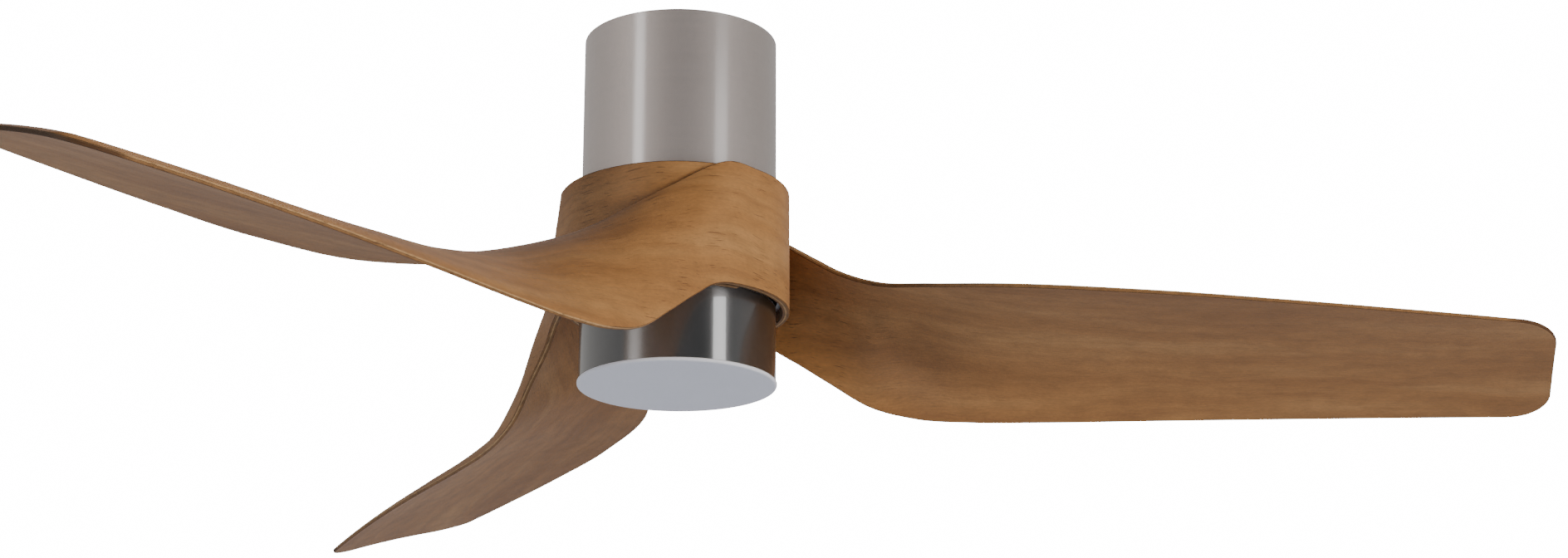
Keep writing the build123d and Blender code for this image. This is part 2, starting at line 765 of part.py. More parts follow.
# ---- write every piece ----
PIECES = {
    "ceiling_bracket": ceiling_bracket,
    "canopy_shell": canopy_shell,
    "canopy_lugs": canopy_lugs,
    "canopy_screws": canopy_screws,
    "terminal_block": terminal_block,
    "ground_screw": ground_screw,
    "receiver_case": receiver_case,
    "receiver_cover": receiver_cover,
    "receiver_board": receiver_board,
    "motor_plate": motor_plate,
    "motor_shaft": motor_shaft,
    "motor_screws": motor_screws,
    "shaft_grommet": shaft_grommet,
    "stator_bush": stator_bush,
    "stator_core": stator_core,
    "stator_coils": stator_coils,
    "magnet_ring": magnet_ring,
    "rotor_upper_cover": rotor_upper_cover,
    "rotor_lower_cover": rotor_lower_cover,
    "cover_screws": cover_screws,
    "blade_hub": blade_hub,
    "hub_screws": hub_screws,
    "blade_screws": blade_screws,
    "blade_inserts": blade_inserts,
    "light_plate": light_plate,
    "light_housing": light_housing,
    "housing_screws": housing_screws,
    "shaft_washer": shaft_washer,
    "shaft_nut": shaft_nut,
    "led_driver": led_driver,
    "tray_posts": tray_posts,
    "heat_sink": heat_sink,
    "tray_screws": tray_screws,
    "led_board": led_board,
    "led_chips": led_chips,
    "reflector": reflector,
    "lens_gasket": lens_gasket,
    "diffuser": diffuser,
}

os.makedirs("parts", exist_ok=True)
for name, make in PIECES.items():
    save(name, make())
for level, z in (("upper", UPPER_BEARING), ("lower", LOWER_BEARING)):
    save(f"{level}_inner_race", inner_race(z))
    save(f"{level}_outer_race", outer_race(z))
    save(f"{level}_balls", balls(z))
one_blade = blade()
for k in range(BLADE_COUNT):
    save(f"blade_{k + 1}", spin(one_blade, FIRST_BLADE + 360 / BLADE_COUNT * k))
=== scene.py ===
import json
import math

import bmesh
import bpy
import numpy as np
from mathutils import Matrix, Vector


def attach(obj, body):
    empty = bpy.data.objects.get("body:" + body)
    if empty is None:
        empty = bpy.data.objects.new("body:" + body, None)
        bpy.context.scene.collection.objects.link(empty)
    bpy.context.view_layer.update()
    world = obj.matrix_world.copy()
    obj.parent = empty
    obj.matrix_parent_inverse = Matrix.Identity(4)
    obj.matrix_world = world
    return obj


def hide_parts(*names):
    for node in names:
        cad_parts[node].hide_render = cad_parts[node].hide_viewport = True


# Looks for the close-to-ceiling fan with a light. Metres, +Z up, origin on the axis at the ceiling.
# The three blades are rebuilt as fine meshes; every other piece is the CAD node with its material.
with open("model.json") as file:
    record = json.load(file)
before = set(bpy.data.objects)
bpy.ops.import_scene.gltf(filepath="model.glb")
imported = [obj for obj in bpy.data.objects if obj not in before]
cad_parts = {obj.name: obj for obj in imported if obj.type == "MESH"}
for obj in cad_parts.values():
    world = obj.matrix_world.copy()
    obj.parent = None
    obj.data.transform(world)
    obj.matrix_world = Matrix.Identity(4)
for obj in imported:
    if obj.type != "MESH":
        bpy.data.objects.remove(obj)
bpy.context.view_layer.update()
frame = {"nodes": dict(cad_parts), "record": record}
NODES = frame["nodes"]

# ---- the blade's shape, in its own frame (mm), as the design has it ----
BLADE_COUNT = 3
FIRST_BLADE = 234.7        # azimuth of the first blade's tip, degrees
PLY = 6.0
RIBBON_TOP, RIBBON_BOTTOM = -137.0, -238.5
RIBBON_MID_R, RIBBON_LIFT = 89.0, 6.3
RIBBON_LIFT_FROM, RIBBON_LIFT_TO = 125.0, 68.0
RIBBON_START, RIBBON_END, RIBBON_STEPS = 188.0, 76.0, 9
TIP_ROUND = 32.0
STATIONS = [               # trailing edge, leading edge, bow of the ply between them
    ((58, 84, -241), (51, 81.5, -137), 4),
    ((90, 80, -258), (85, 53, -162), 9),
    ((123, 80.5, -279), (110, 30.5, -183), 16),
    ((157, 80, -300), (135, 8, -203), 20),
    ((196, 79.5, -310.5), (166, -22, -221), 22.5),
    ((240, 78, -313.5), (206, -64, -235), 20),
    ((300, 77.5, -314), (268, -94, -245.5), 18),
    ((400, 77.5, -313.5), (385, -104, -256), 14.5),
    ((500, 76.5, -313.5), (490, -96, -263), 9.5),
    ((600, 73, -314.5), (592, -83.5, -269.5), 6.5),
    ((716, 66, -317), (700, -67.5, -276.5), 3),
]
EDGE_ROUND = 0.7           # how far the ply's edges are eased
EASE_ANGLES = (22.5, 45, 67.5, 90)
EDGE_SHARES = (0.35, 0.65)
TIP_INSET = 0.6            # keeps the eased tip inside the design's box
ROW_STEP = 4.0
COLUMNS = 33
TIP_TURNS = 15             # rows round each tip corner
SLOPE_STEP = 0.5           # half the distance over which the blade's direction is taken
THIN_EDGE, THIN_REACH = 2.8, 11.0   # the outer face rolls back towards the edges, and over what width
THIN_FROM, THIN_TO = 230.0, 420.0
GRAIN_DRIFT, GRAIN_DRIFT_FROM, GRAIN_DRIFT_TO = 58.0, 170.0, 400.0
MM = 0.001


def blade_curve():
    """The blade's sections as a smooth function of the distance along it, and its whole length."""
    rows = []
    for i in range(RIBBON_STEPS):
        azimuth = RIBBON_START + (RIBBON_END - RIBBON_START) * i / (RIBBON_STEPS - 1)
        part = max(0.0, (RIBBON_LIFT_FROM - azimuth) / (RIBBON_LIFT_FROM - RIBBON_LIFT_TO))
        r = RIBBON_MID_R + RIBBON_LIFT * part**1.4
        x, y = r * math.cos(math.radians(azimuth)), r * math.sin(math.radians(azimuth))
        rows.append([x, y, RIBBON_BOTTOM, x, y, RIBBON_TOP, 0.0])
    rows += [[*trailing, *leading, bow] for trailing, leading, bow in STATIONS]
    rows = np.array(rows, float)
    middle = (rows[:, :3] + rows[:, 3:6]) / 2
    knots = np.r_[0, np.cumsum(np.linalg.norm(np.diff(middle, axis=0), axis=1))]
    width = np.diff(knots)[:, None]
    rate = np.diff(rows, axis=0) / width
    slope = np.empty_like(rows)
    slope[1:-1] = (rate[:-1] * width[1:] + rate[1:] * width[:-1]) / (width[1:] + width[:-1])
    slope[0] = 2 * rate[0] - slope[1]
    slope[-1] = 2 * rate[-1] - slope[-2]

    def at(t):
        i = int(np.clip(np.searchsorted(knots, t, side="right") - 1, 0, len(knots) - 2))
        w = knots[i + 1] - knots[i]
        u = (t - knots[i]) / w
        rise = rows[i + 1] - rows[i]
        leave, arrive = slope[i] * w, slope[i + 1] * w
        square = 3 * rise - 2 * leave - arrive
        cube = leave + arrive - 2 * rise
        return rows[i] + u * leave + u**2 * square + u**3 * cube

    return at, knots[-1]


def unit(v):
    """The vector with a length of one."""
    return v / np.linalg.norm(v)


def grain_drift(t):
    """How far the grain has moved off the trailing edge: it runs straighter than the edge's bend."""
    part = np.clip((t - GRAIN_DRIFT_FROM) / (GRAIN_DRIFT_TO - GRAIN_DRIFT_FROM), 0, 1)
    return GRAIN_DRIFT * part**2 * (3 - 2 * part)


def blade_grid():
    """Middle surface, normals, flat coordinates and outer face height of the ply, inside its edges."""
    at, length = blade_curve()
    inner_round = TIP_ROUND - EDGE_ROUND
    tip = length - TIP_INSET - EDGE_ROUND
    straight = np.linspace(EDGE_ROUND, tip - inner_round, int(length / ROW_STEP))
    rows = [(t, 0.0) for t in straight]
    for a in np.linspace(0, math.pi / 2, TIP_TURNS)[1:]:
        rows.append((straight[-1] + inner_round * math.sin(a), inner_round * (1 - math.cos(a))))
    spread = (1 - np.cos(np.linspace(0, math.pi, COLUMNS))) / 2
    points, normals, flat, heights = [], [], [], []
    for t, inset in rows:
        row, ahead, behind = at(t), at(t + SLOPE_STEP), at(t - SLOPE_STEP)
        trailing, leading, bow = row[:3], row[3:6], row[6]
        along = unit((ahead[:3] + ahead[3:6]) - (behind[:3] + behind[3:6]))
        chord = leading - trailing
        span = np.linalg.norm(chord)
        out = unit(np.cross(chord, along))
        side = chord / span
        margin = (EDGE_ROUND + inset) / span
        u = margin + (1 - 2 * margin) * spread
        points.append(trailing + np.outer(u, chord) + np.outer(4 * bow * u * (1 - u), out))
        lean = np.arctan(4 * bow / span * (1 - 2 * u))
        normals.append(np.outer(np.cos(lean), out) - np.outer(np.sin(lean), side))
        flat.append(np.c_[np.full(COLUMNS, t), u * span - grain_drift(t)])
        from_edge = (0.5 - abs(u - 0.5) - margin) * span
        inward = np.minimum(from_edge, rows[-1][0] - t)
        thin = np.clip((t - THIN_FROM) / (THIN_TO - THIN_FROM), 0, 1) * THIN_EDGE
        heights.append(PLY / 2 - thin * (1 - np.clip(inward / THIN_REACH, 0, 1)) ** 2)
    return np.array(points), np.array(normals), np.array(flat), np.array(heights)


def blade_mesh(name, grid, azimuth):
    """A closed mesh of one blade. Its ply attribute is metres along, metres across, and the layer."""
    points, normals, flat, heights = grid
    n_rows, n_cols = points.shape[:2]
    half = PLY / 2
    index = np.arange(n_rows * n_cols).reshape(n_rows, n_cols)
    outer = (points + normals * heights[:, :, None]).reshape(-1, 3)
    inner = (points - normals * half).reshape(-1, 3)
    rim = np.r_[index[:-1, 0], index[-1, :-1], index[:0:-1, -1], index[0, :0:-1]]
    p, n, uv = points.reshape(-1, 3)[rim], normals.reshape(-1, 3)[rim], flat.reshape(-1, 2)
    tangent = np.roll(p, -1, axis=0) - np.roll(p, 1, axis=0)
    outward = np.cross(tangent, n)
    outward /= np.linalg.norm(outward, axis=1)[:, None]
    probe = n_rows // 2
    if np.dot(outward[probe], points[probe, 0] - points[probe, 1]) < 0:
        outward = -outward
    crown = heights.reshape(-1)[rim][:, None]
    # The edge from the outer face to the inner one: reach outwards, share of the thickness, and offset.
    ease = [math.radians(a) for a in EASE_ANGLES]
    profile = [(EDGE_ROUND * math.sin(a), 0.0, EDGE_ROUND * (math.cos(a) - 1)) for a in ease]
    profile += [(EDGE_ROUND, share, 0.0) for share in EDGE_SHARES]
    profile += [(reach, 1.0, -drop) for reach, _, drop in reversed(profile[: len(ease)])]
    verts, layers, uvs = [outer, inner], [heights.reshape(-1) / half, -np.ones(len(inner))], [uv, uv]
    base = 2 * len(outer)
    for reach, share, drop in profile:
        height = crown * (1 - share) - half * share + drop
        verts.append(p + outward * reach + n * height)
        layers.append(height[:, 0] / half)
        uvs.append(uv[rim])
    turn = math.radians(azimuth)
    spin = np.array([
        (math.cos(turn), math.sin(turn), 0), (-math.sin(turn), math.cos(turn), 0), (0, 0, 1),
    ])
    verts = np.concatenate(verts) @ spin * MM
    ply = np.c_[np.concatenate(uvs) * MM, np.concatenate(layers)]
    faces = []
    for i in range(n_rows - 1):
        for j in range(n_cols - 1):
            a, b, c, d = index[i, j], index[i, j + 1], index[i + 1, j + 1], index[i + 1, j]
            faces.append((a, b, c, d))
            faces.append((d + len(outer), c + len(outer), b + len(outer), a + len(outer)))
    surface_faces = len(faces)
    loops = [rim]
    loops += [base + k * len(rim) + np.arange(len(rim)) for k in range(len(profile))]
    loops += [rim + len(outer)]
    for above, below in zip(loops, loops[1:]):
        for k in range(len(rim)):
            m = (k + 1) % len(rim)
            faces.append((above[k], above[m], below[m], below[k]))
    mesh = bpy.data.meshes.new(name)
    mesh.from_pydata(verts.tolist(), [], [tuple(int(v) for v in f) for f in faces])
    attribute = mesh.attributes.new("ply", "FLOAT_VECTOR", "POINT")
    attribute.data.foreach_set("vector", ply.astype(np.float32).ravel())
    edge_faces = len(faces) - surface_faces
    mesh.polygons.foreach_set("material_index", [0] * surface_faces + [1] * edge_faces)
    mesh.polygons.foreach_set("use_smooth", [True] * len(faces))
    bm = bmesh.new()
    bm.from_mesh(mesh)
    bmesh.ops.recalc_face_normals(bm, faces=bm.faces)
    bm.to_mesh(mesh)
    bm.free()
    mesh.update()
    return mesh


# ---- node materials ----
WOOD_LOW, WOOD_MID, WOOD_HIGH = (0.320, 0.142, 0.043), (0.400, 0.188, 0.062), (0.480, 0.246, 0.090)
WOOD_LINE, WOOD_STROKE = (0.270, 0.115, 0.036), (0.060, 0.024, 0.009)
LONG_STROKES, SHORT_STROKES = (0.048, 0.0030, 0.22, 0.10), (0.024, 0.0022, 0.20, 0.10)
TIP_STAIN = (0.858, 0.870)   # the edge darkens between these distances along the blade
EDGE_PLIES = [
    (0.00, (0.085, 0.038, 0.015)), (0.07, (0.24, 0.115, 0.042)), (0.29, (0.31, 0.155, 0.058)),
    (0.34, (0.10, 0.045, 0.018)), (0.39, (0.50, 0.29, 0.125)), (0.61, (0.56, 0.33, 0.150)),
    (0.66, (0.11, 0.050, 0.020)), (0.71, (0.31, 0.155, 0.058)), (0.93, (0.24, 0.115, 0.042)),
    (1.00, (0.085, 0.038, 0.015)),
]


class Nodes:
    """Short forms for building a material's nodes."""

    def __init__(self, name):
        self.material = bpy.data.materials.new(name)
        self.material.use_nodes = True
        self.tree = self.material.node_tree
        self.shader = self.tree.nodes["Principled BSDF"]
        self.coords = self.tree.nodes.new("ShaderNodeTexCoord")

    def new(self, kind, **values):
        node = self.tree.nodes.new(kind)
        for key, value in values.items():
            setattr(node, key, value)
        return node

    def join(self, source, target):
        self.tree.links.new(source, target)

    def stretch(self, vector, scale, offset=(0, 0, 0)):
        node = self.new("ShaderNodeMapping")
        node.inputs["Scale"].default_value = scale
        node.inputs["Location"].default_value = offset
        self.join(vector, node.inputs["Vector"])
        return node.outputs["Vector"]

    def noise(self, vector, detail=4, roughness=0.6, distortion=0.0):
        node = self.new("ShaderNodeTexNoise")
        node.inputs["Scale"].default_value = 1.0
        node.inputs["Detail"].default_value = detail
        node.inputs["Roughness"].default_value = roughness
        node.inputs["Distortion"].default_value = distortion
        self.join(vector, node.inputs["Vector"])
        return node.outputs["Fac"]

    def ramp(self, value, stops):
        node = self.new("ShaderNodeValToRGB")
        elements = node.color_ramp.elements
        for i, (place, colour) in enumerate(stops):
            element = elements[i] if i < 2 else elements.new(place)
            element.position = place
            rgb = colour if hasattr(colour, "__len__") else (colour,) * 3
            element.color = (*rgb, 1)
        self.join(value, node.inputs["Fac"])
        return node.outputs["Color"]

    def span(self, value, low, high, start=0.0, end=1.0):
        """Maps start..end to low..high."""
        node = self.new("ShaderNodeMapRange")
        for key, v in (("From Min", start), ("From Max", end), ("To Min", low), ("To Max", high)):
            node.inputs[key].default_value = v
        self.join(value, node.inputs["Value"])
        return node.outputs["Result"]

    def along(self, vector, axis="X"):
        node = self.new("ShaderNodeSeparateXYZ")
        self.join(vector, node.inputs["Vector"])
        return node.outputs[axis]

    def mix(self, factor, a, b, blend="MIX"):
        node = self.new("ShaderNodeMix", data_type="RGBA", blend_type=blend)
        for key, value in (("Factor", factor), ("A", a), ("B", b)):
            socket = node.inputs[key]
            if hasattr(value, "is_linked"):
                self.join(value, socket)
            elif hasattr(value, "__len__"):
                socket.default_value = (*value, 1)
            else:
                socket.default_value = value
        return node.outputs["Result"]

    def maths(self, operation, a, b):
        node = self.new("ShaderNodeMath", operation=operation)
        for socket, value in zip(node.inputs, (a, b)):
            if hasattr(value, "is_linked"):
                self.join(value, socket)
            else:
                socket.default_value = value
        return node.outputs[0]

    def bump(self, height, distance, strength):
        node = self.new("ShaderNodeBump")
        node.inputs["Distance"].default_value = distance
        node.inputs["Strength"].default_value = strength
        self.join(height, node.inputs["Height"])
        self.join(node.outputs["Normal"], self.shader.inputs["Normal"])

    def set(self, **values):
        """Sets sockets: names with _ for spaces. A socket links, anything else is a constant."""
        for key, value in values.items():
            socket = self.shader.inputs[key.replace("_", " ")]
            if hasattr(value, "is_linked"):
                self.join(value, socket)
            elif hasattr(value, "__len__") and len(value) == 3:
                socket.default_value = (*value, 1)
            else:
                socket.default_value = value


def streaks(m, ply, length, width, reach, soften):
    """Mask of short strokes along the grain, one of its own size in each cell of length by width metres."""
    cells = m.new("ShaderNodeTexVoronoi", voronoi_dimensions="2D", feature="F1")
    cells.inputs["Scale"].default_value = 1.0
    m.join(m.stretch(ply, (1 / length, 1 / width, 1)), cells.inputs["Vector"])
    chance = m.new("ShaderNodeSeparateColor")
    m.join(cells.outputs["Color"], chance.inputs["Color"])
    size = m.maths("MULTIPLY", m.maths("POWER", chance.outputs["Red"], 1.8), reach)
    left = m.maths("SUBTRACT", size, cells.outputs["Distance"])
    return m.span(left, 0, 1, 0, soften)


def ply_coordinates(m, offset):
    """The ply attribute, and the same moved by offset with the grain's slow waver added across."""
    ply = m.new("ShaderNodeAttribute", attribute_name="ply").outputs["Vector"]
    moved = m.stretch(ply, (1, 1, 1), offset)
    waver = m.noise(m.stretch(moved, (14, 9, 0)), detail=2)
    shift = m.new("ShaderNodeCombineXYZ")
    m.join(m.span(waver, -0.007, 0.007), shift.inputs["Y"])
    total = m.new("ShaderNodeVectorMath", operation="ADD")
    m.join(moved, total.inputs[0])
    m.join(shift.outputs["Vector"], total.inputs[1])
    return ply, total.outputs["Vector"]


def wood_grain(m, offset):
    """Colour, stroke mask and fibre value of the veneer. Scales are per metre along and across it."""
    ply, grain = ply_coordinates(m, offset)
    flat = m.stretch(grain, (1, 1, 0))
    broad = m.noise(m.stretch(flat, (3.0, 22, 1)), detail=3, distortion=0.3)
    figure = m.noise(m.stretch(flat, (7, 95, 1)), detail=4, roughness=0.6, distortion=0.5)
    fibre = m.noise(m.stretch(flat, (38, 900, 1)), detail=5, roughness=0.7)
    grit = m.noise(m.stretch(flat, (260, 700, 1)), detail=3, roughness=0.6)
    zones = m.noise(m.stretch(flat, (9, 26, 1), (3, 7, 0)), detail=2)
    colour = m.ramp(broad, [(0.30, WOOD_LOW), (0.52, WOOD_MID), (0.72, WOOD_HIGH)])
    colour = m.mix(m.span(figure, 0, 0.5, 0.48, 0.74), colour, WOOD_LINE)
    colour = m.mix(0.6, colour, m.ramp(fibre, [(0.28, 0.76), (0.50, 1.0), (0.74, 1.12)]), "MULTIPLY")
    mottle = m.noise(m.stretch(flat, (42, 75, 1), (1, 9, 0)), detail=3, roughness=0.6)
    colour = m.mix(0.6, colour, m.ramp(mottle, [(0.34, 0.84), (0.52, 1.0), (0.70, 1.14)]), "MULTIPLY")
    colour = m.mix(0.5, colour, m.ramp(grit, [(0.34, 0.80), (0.66, 1.08)]), "MULTIPLY")
    strokes = m.maths("MAXIMUM", streaks(m, flat, *LONG_STROKES), streaks(m, flat, *SHORT_STROKES))
    strokes = m.maths("MULTIPLY", strokes, m.span(zones, 0.25, 1, 0.36, 0.58))
    strokes = m.maths("MULTIPLY", strokes, m.span(grit, 0.35, 1.0, 0.32, 0.55))
    strokes = m.maths("MULTIPLY", strokes, m.span(m.along(ply), 1.0, 0.3, 0.28, 0.42))
    colour = m.mix(m.maths("MULTIPLY", strokes, 0.72), colour, WOOD_STROKE)
    return colour, strokes, fibre


def wood_face(name, offset):
    """Satin-lacquered veneer with open grain."""
    m = Nodes(name)
    colour, strokes, fibre = wood_grain(m, offset)
    m.set(Base_Color=colour, Roughness=m.span(fibre, 0.50, 0.64, 0.3, 0.7), Specular_IOR_Level=0.4)
    m.set(Sheen_Weight=0.05, Sheen_Roughness=0.4, Sheen_Tint=(0.80, 0.84, 1.0))
    height = m.maths("SUBTRACT", m.maths("MULTIPLY", fibre, 0.4), strokes)
    m.bump(height, 0.00020, 0.5)
    return m.material


def wood_edge(name, offset):
    """The cut edge: pale plies, glue lines, and stain caught on the arrises and in the end grain."""
    m = Nodes(name)
    ply, grain = ply_coordinates(m, offset)
    fleck = m.noise(m.stretch(grain, (150, 150, 0.7)), detail=5, roughness=0.7)
    blotch = m.noise(m.stretch(grain, (60, 60, 1.1), (5, 5, 0)), detail=4, roughness=0.65)
    plies = m.ramp(m.span(m.along(ply, "Z"), 0, 1, -1, 1), EDGE_PLIES)
    colour = m.mix(0.7, plies, m.ramp(fleck, [(0.32, 0.60), (0.66, 1.18)]), "MULTIPLY")
    colour = m.mix(m.span(blotch, 0, 0.55, 0.57, 0.66), colour, WOOD_STROKE)
    colour = m.mix(m.span(m.along(ply), 0, 0.8, *TIP_STAIN), colour, WOOD_STROKE)
    m.set(Base_Color=colour, Roughness=m.span(fleck, 0.5, 0.72), Specular_IOR_Level=0.3)
    m.bump(fleck, 0.00025, 0.5)
    return m.material


def brushed_metal(name, colour, roughness, scratches):
    """Metal with fine parallel scratches, which are this many to the metre on each axis."""
    m = Nodes(name)
    lines = m.noise(m.stretch(m.coords.outputs["Object"], scratches), detail=6, roughness=0.75)
    cloud = m.noise(m.stretch(m.coords.outputs["Object"], (14, 14, 9)), detail=3)
    shade = m.ramp(lines, [(0.3, 0.95), (0.7, 1.0)])
    base = m.mix(m.span(cloud, 0, 1, 0.3, 0.7), tuple(c * 0.96 for c in colour), colour)
    m.set(Base_Color=m.mix(1.0, base, shade, "MULTIPLY"), Metallic=1.0)
    m.set(Roughness=m.span(lines, roughness * 0.9, roughness * 1.1, 0.25, 0.75))
    m.bump(lines, 0.00001, 0.4)
    return m


def polished_metal(name, colour, roughness):
    """Plated and polished, with faint wipe marks and plating ripple."""
    m = Nodes(name)
    smear = m.noise(m.stretch(m.coords.outputs["Object"], (30, 30, 12)), detail=4)
    ripple = m.noise(m.stretch(m.coords.outputs["Object"], (7, 7, 2)), detail=1)
    base = m.mix(m.span(smear, 0, 1, 0.3, 0.7), tuple(c * 0.94 for c in colour), colour)
    m.set(Base_Color=base, Metallic=1.0)
    m.set(Roughness=m.span(smear, roughness * 0.9, roughness * 1.12, 0.3, 0.7))
    m.bump(ripple, 0.0005, 0.15)
    return m


def drawn_along_axis(m, amount):
    """Spreads the highlights up and down, as on metal polished round the vertical axis."""
    m.set(Anisotropic=amount, Anisotropic_Rotation=0.25)
    tangent = m.new("ShaderNodeTangent", direction_type="RADIAL", axis="Z")
    m.join(tangent.outputs["Tangent"], m.shader.inputs["Tangent"])
    return m


def satin_nickel():
    """The canopy: a soft brushed base under a clear, smoother coat."""
    m = brushed_metal("satin_nickel", (0.84, 0.745, 0.69), 0.62, (3, 3, 1100))
    m.set(Coat_Weight=1.0, Coat_Roughness=0.17, Coat_IOR=2.0)
    return m.material


def polished_nickel():
    """The light's housing: broad vertical highlights under a sharp coat."""
    m = drawn_along_axis(polished_metal("polished_nickel", (0.30, 0.293, 0.29), 0.31), 0.95)
    m.set(Coat_Weight=1.0, Coat_Roughness=0.03, Coat_IOR=2.0)
    return m.material


def rough_surface(name, colour, second, roughness, scale, depth, metallic=0.0):
    """Cast, moulded or sintered surface: mottled colour, fine grain and a little bump."""
    m = Nodes(name)
    grain = m.noise(m.stretch(m.coords.outputs["Object"], (scale,) * 3), detail=5, roughness=0.65)
    patch = m.noise(m.stretch(m.coords.outputs["Object"], (scale / 12,) * 3), detail=3)
    both = m.maths("ADD", m.maths("MULTIPLY", grain, 0.5), m.maths("MULTIPLY", patch, 0.5))
    m.set(Base_Color=m.mix(m.span(both, 0, 1, 0.35, 0.65), colour, second), Metallic=metallic)
    m.set(Roughness=m.span(grain, roughness * 0.85, min(1.0, roughness * 1.15), 0.3, 0.7))
    m.bump(grain, depth, 0.5)
    return m.material


def layered_surface(name, colour, second, roughness, pitch):
    """Thin metal layers stacked along Z, such as laminations, knurls or turns of wire."""
    m = Nodes(name)
    wave = m.new("ShaderNodeTexWave", wave_type="BANDS", bands_direction="Z", wave_profile="SIN")
    wave.inputs["Scale"].default_value = 1 / pitch / 20
    wave.inputs["Distortion"].default_value = 0.4
    m.join(m.coords.outputs["Object"], wave.inputs["Vector"])
    m.set(Base_Color=m.mix(wave.outputs["Fac"], colour, second), Metallic=1.0)
    m.set(Roughness=m.span(wave.outputs["Fac"], roughness * 1.2, roughness * 0.8))
    m.bump(wave.outputs["Fac"], 0.00005, 0.7)
    return m.material


def frosted_acrylic():
    """Opal diffuser with a fine matte tooth, and a faint painted glow that brightens it in place of light
    bounced up from below.
    """
    m = Nodes("frosted_acrylic")
    tooth = m.noise(m.stretch(m.coords.outputs["Object"], (1800,) * 3), detail=2)
    cloud = m.noise(m.stretch(m.coords.outputs["Object"], (12,) * 3), detail=2)
    m.set(Base_Color=m.mix(m.span(cloud, 0, 1, 0.35, 0.65), (0.83, 0.82, 0.88), (0.86, 0.85, 0.91)))
    m.set(Roughness=m.span(tooth, 0.42, 0.55, 0.3, 0.7), Specular_IOR_Level=0.5)
    # Painted light: a faint bluish emission lifts the lens as bounce light from below would; nothing inside
    # it is lit.
    m.set(Emission_Color=(0.86, 0.87, 1.0), Emission_Strength=0.07)
    m.set(Subsurface_Weight=0.35, Subsurface_Scale=0.004)
    m.shader.inputs["Subsurface Radius"].default_value = (1.0, 1.0, 1.1)
    m.bump(tooth, 0.00002, 0.3)
    return m.material


def shaft_steel():
    return brushed_metal("shaft_steel", (0.50, 0.50, 0.51), 0.24, (4, 4, 1300)).material


def bearing_steel():
    return polished_metal("bearing_steel", (0.66, 0.66, 0.67), 0.12).material


FINISHES = {
    "satin_nickel": satin_nickel,
    "polished_nickel": polished_nickel,
    "frosted_acrylic": frosted_acrylic,
    "shaft_steel": shaft_steel,
    "bearing_steel": bearing_steel,
}
ROUGH_SURFACES = {         # colour, second colour, roughness, grains to the metre, bump depth, metallic
    "zinc_steel": ((0.50, 0.51, 0.53), (0.63, 0.63, 0.62), 0.36, 90, 0.00002, 1.0),
    "cast_aluminium": ((0.52, 0.53, 0.54), (0.64, 0.64, 0.65), 0.48, 420, 0.00012, 1.0),
    "ferrite": ((0.030, 0.030, 0.033), (0.065, 0.064, 0.066), 0.62, 500, 0.00006),
    "white_plastic": ((0.74, 0.74, 0.72), (0.80, 0.80, 0.785), 0.44, 900, 0.00003),
    "black_plastic": ((0.018, 0.018, 0.019), (0.035, 0.035, 0.036), 0.50, 700, 0.00005),
    "circuit_green": ((0.012, 0.085, 0.035), (0.022, 0.13, 0.055), 0.34, 300, 0.00002),
    "led_white": ((0.80, 0.62, 0.16), (0.86, 0.74, 0.30), 0.30, 800, 0.00002),
    "ground_green": ((0.03, 0.22, 0.07), (0.05, 0.30, 0.10), 0.38, 300, 0.00002),
    "silicone": ((0.52, 0.52, 0.51), (0.60, 0.60, 0.59), 0.60, 500, 0.00003),
    "black_rubber": ((0.012, 0.012, 0.012), (0.028, 0.028, 0.028), 0.72, 500, 0.00006),
}
LAYERED_SURFACES = {       # colour, second colour, roughness, pitch of the layers
    "lamination_steel": ((0.10, 0.10, 0.11), (0.30, 0.30, 0.31), 0.42, 0.001),
    "copper_winding": ((0.38, 0.12, 0.045), (0.72, 0.30, 0.13), 0.30, 0.0012),
    "brass_insert": ((0.42, 0.27, 0.09), (0.72, 0.52, 0.22), 0.28, 0.0008),
}


def make_material(slot):
    if slot in ROUGH_SURFACES:
        return rough_surface(slot, *ROUGH_SURFACES[slot])
    if slot in LAYERED_SURFACES:
        return layered_surface(slot, *LAYERED_SURFACES[slot])
    return FINISHES[slot]()


def dress_cad():
    """Gives each CAD node its slot's material, except the wooden ones, which make_blades replaces."""
    made = {}
    slots = {row["node"]: row["material_slot"] for row in frame["record"]["subparts"]}
    for name, node in NODES.items():
        slot = slots[name]
        if slot == "wood":
            continue
        if slot not in made:
            made[slot] = make_material(slot)
        node.data.materials.clear()
        node.data.materials.append(made[slot])


def make_blades():
    """Three blades of one shape, each with its own piece of veneer."""
    grid = blade_grid()
    for k in range(BLADE_COUNT):
        name = f"blade_{k + 1}"
        azimuth = FIRST_BLADE + 360 / BLADE_COUNT * k
        blade = bpy.data.objects.new(f"ply_{name}", blade_mesh(f"ply_{name}", grid, azimuth))
        bpy.context.scene.collection.objects.link(blade)
        offset = (1.7 * k + 0.35, 0.43 * k + 0.11, 0)
        blade.data.materials.append(wood_face(f"veneer_{k + 1}", offset))
        blade.data.materials.append(wood_edge(f"ply_edge_{k + 1}", offset))
        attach(blade, "rotor")
        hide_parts(name)


# ---- camera, light and surroundings ----
HUB = Vector((0, 0, -0.19))
CAMERA_PLACE = (0.004, -2.177, -0.882)
CAMERA_RISE, CAMERA_TURN = 17.21, -2.20    # degrees above level, and to the left of +Y
CAMERA_LENS = 63.2
BACKDROP = 16.0            # strength at which the backdrop shows as white
# The room's brightness by direction, from behind the viewer (0) to behind the fan (1).
ROOM = [(0.0, 0.055), (0.13, 0.08), (0.34, 0.19), (0.55, 0.28), (1.0, 0.45)]
ROOM_TINT = (1.0, 0.985, 0.96)
FLOOR_HEIGHT, FLOOR_REACH = -11.0, 120.0
WARM, COOL = (1.0, 0.96, 0.90), (0.96, 0.98, 1.0)


def aim(obj, target):
    obj.rotation_euler = (Vector(target) - obj.location).to_track_quat("-Z", "Y").to_euler()


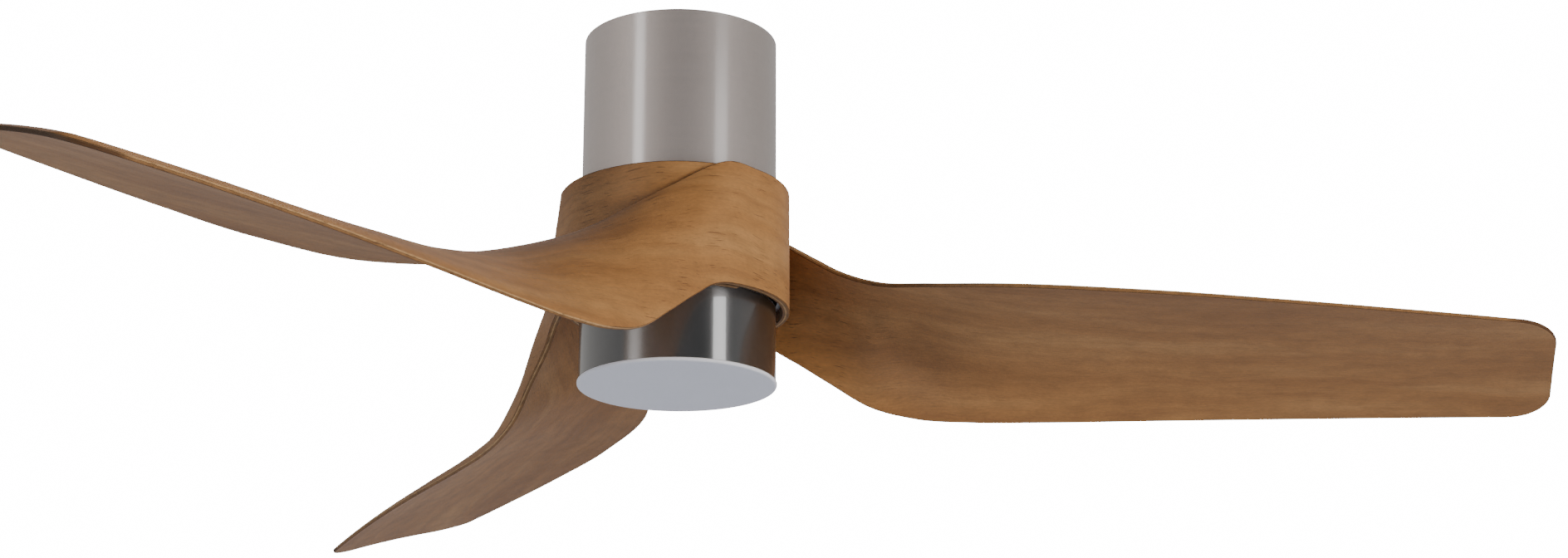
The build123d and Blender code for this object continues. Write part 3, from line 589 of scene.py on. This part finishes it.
def make_camera():
    data = bpy.data.cameras.new("camera")
    data.sensor_width = 36.0
    data.lens = CAMERA_LENS
    data.clip_end = 60
    camera = bpy.data.objects.new("camera", data)
    camera.location = CAMERA_PLACE
    camera.rotation_euler = (math.radians(90 + CAMERA_RISE), 0, math.radians(CAMERA_TURN))
    bpy.context.scene.collection.objects.link(camera)
    bpy.context.scene.camera = camera


def area_light(name, azimuth, elevation, distance, size, power, colour=(1, 1, 1), shows=True, lights=True):
    """A soft box facing the hub, at an azimuth from the camera's side, turning to the right."""
    a, e = math.radians(azimuth), math.radians(elevation)
    away = distance * Vector((math.sin(a) * math.cos(e), -math.cos(a) * math.cos(e), math.sin(e)))
    place_light(name, HUB + away, HUB, size, power, colour, shows, lights)


def place_light(name, place, target, size, power, colour=(1, 1, 1), shows=True, lights=True):
    """A soft box. It is in reflections if it shows, and in diffuse shading if it lights."""
    data = bpy.data.lights.new(name, "AREA")
    data.shape = "RECTANGLE"
    data.size, data.size_y = size
    data.energy = power
    data.color = colour
    light = bpy.data.objects.new(name, data)
    light.location = place
    light.visible_camera = False
    light.visible_glossy = shows
    light.visible_diffuse = lights
    aim(light, target)
    bpy.context.scene.collection.objects.link(light)


def make_world():
    """A white backdrop for the camera, and for everything else a room that is darkest behind the viewer."""
    world = bpy.data.worlds.new("studio")
    bpy.context.scene.world = world
    world.use_nodes = True
    tree = world.node_tree
    backdrop = tree.nodes["Background"]
    backdrop.inputs["Color"].default_value = (1, 1, 1, 1)
    backdrop.inputs["Strength"].default_value = BACKDROP
    direction = tree.nodes.new("ShaderNodeSeparateXYZ")
    tree.links.new(tree.nodes.new("ShaderNodeTexCoord").outputs["Generated"], direction.inputs["Vector"])
    ramp = tree.nodes.new("ShaderNodeValToRGB")
    place = tree.nodes.new("ShaderNodeMapRange")
    place.inputs["From Min"].default_value = -1.0
    tree.links.new(direction.outputs["Y"], place.inputs["Value"])
    tree.links.new(place.outputs["Result"], ramp.inputs["Fac"])
    elements = ramp.color_ramp.elements
    for i, (where, shade) in enumerate(ROOM):
        element = elements[i] if i < 2 else elements.new(where)
        element.position = where
        element.color = (*(shade * tint for tint in ROOM_TINT), 1)
    room = tree.nodes.new("ShaderNodeBackground")
    tree.links.new(ramp.outputs["Color"], room.inputs["Color"])
    path = tree.nodes.new("ShaderNodeLightPath")
    mix = tree.nodes.new("ShaderNodeMixShader")
    tree.links.new(path.outputs["Is Camera Ray"], mix.inputs["Fac"])
    tree.links.new(room.outputs["Background"], mix.inputs[1])
    tree.links.new(backdrop.outputs["Background"], mix.inputs[2])
    tree.links.new(mix.outputs["Shader"], tree.nodes["World Output"].inputs["Surface"])


def make_floor():
    """A plain pale floor, far enough down that a camera looking steeply up from below is still above it."""
    mesh = bpy.data.meshes.new("floor")
    signs = [(-1, -1), (1, -1), (1, 1), (-1, 1)]
    corners = [(x * FLOOR_REACH, y * FLOOR_REACH, FLOOR_HEIGHT) for x, y in signs]
    mesh.from_pydata(corners, [], [(0, 1, 2, 3)])
    floor = bpy.data.objects.new("floor", mesh)
    bpy.context.scene.collection.objects.link(floor)
    m = Nodes("floor")
    speckle = m.noise(m.stretch(m.coords.outputs["Object"], (40, 40, 40)), detail=3)
    m.set(Base_Color=m.mix(speckle, (0.80, 0.80, 0.80), (0.84, 0.84, 0.84)), Roughness=0.8)
    mesh.materials.append(m.material)


dress_cad()
make_blades()
make_camera()
# Azimuth, elevation, distance, width and height, power, and colour.
area_light("strip_left", -49, -10, 2.6, (0.60, 3.9), 31, lights=False)
area_light("strip_right", 49, -6, 2.6, (0.74, 3.0), 20, lights=False)
area_light("key", 44, 0, 3.0, (1.0, 1.0), 70, WARM, shows=False)
area_light("left_fill", -104, 0, 3.0, (1.5, 1.5), 15, COOL, shows=False)
area_light("back_key", 168, 52, 3.2, (1.6, 1.6), 40, (1.0, 0.97, 0.93), shows=False)
place_light("floor_wash", (0, 0, -0.9), (0, 0, -3), (200, 200), 46000, (0.84, 0.93, 1.12), shows=False)
make_world()
make_floor()
